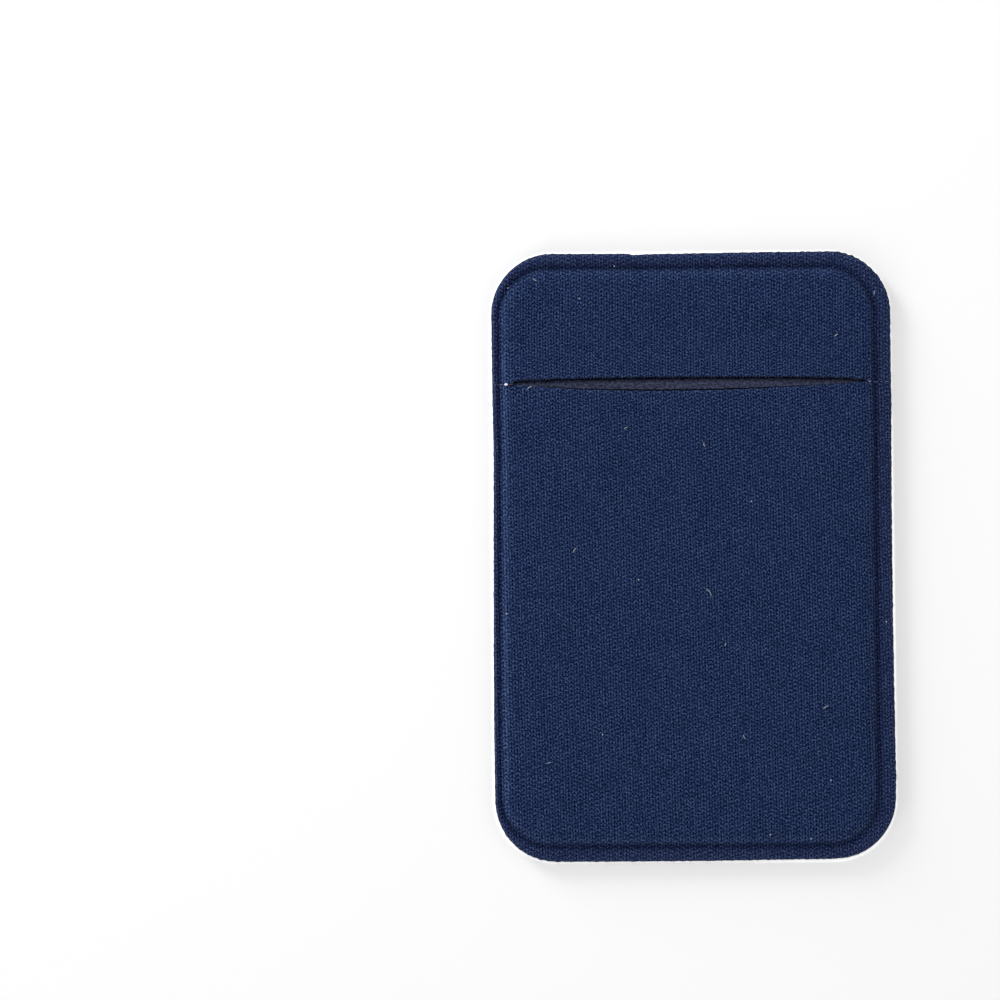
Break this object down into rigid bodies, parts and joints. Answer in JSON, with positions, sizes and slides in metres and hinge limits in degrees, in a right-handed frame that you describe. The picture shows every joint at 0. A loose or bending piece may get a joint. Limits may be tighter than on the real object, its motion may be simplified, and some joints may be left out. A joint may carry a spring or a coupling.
{
  "type": "stick-on card holder for a phone",
  "caption": "Thin padded knit pocket with a cross slit for bank cards, pressed round its rim, with a peel-off adhesive back that sticks to a phone.",
  "frame": {"origin": "on the surface it lies on, under the middle of the release liner", "axes": "+Z comes up out of the knit face, +Y points along the holder towards the end with the slit, +X runs across it"},
  "size_m": [0.0636, 0.0966, 0.0031],
  "materials": {
    "navy_knit": "matt dark navy stretch knit, padded",
    "lining_fabric": "matt brushed grey-navy lining",
    "adhesive": "dull off-white adhesive sheet",
    "liner_paper": "smooth white coated release paper"
  },
  "bodies": {
    "root": {"release_liner": "liner_paper", "adhesive_sheet": "adhesive", "back_panel": "lining_fabric", "upper_band": "navy_knit", "pocket_panel": "navy_knit"}
  },
  "joints": []
}
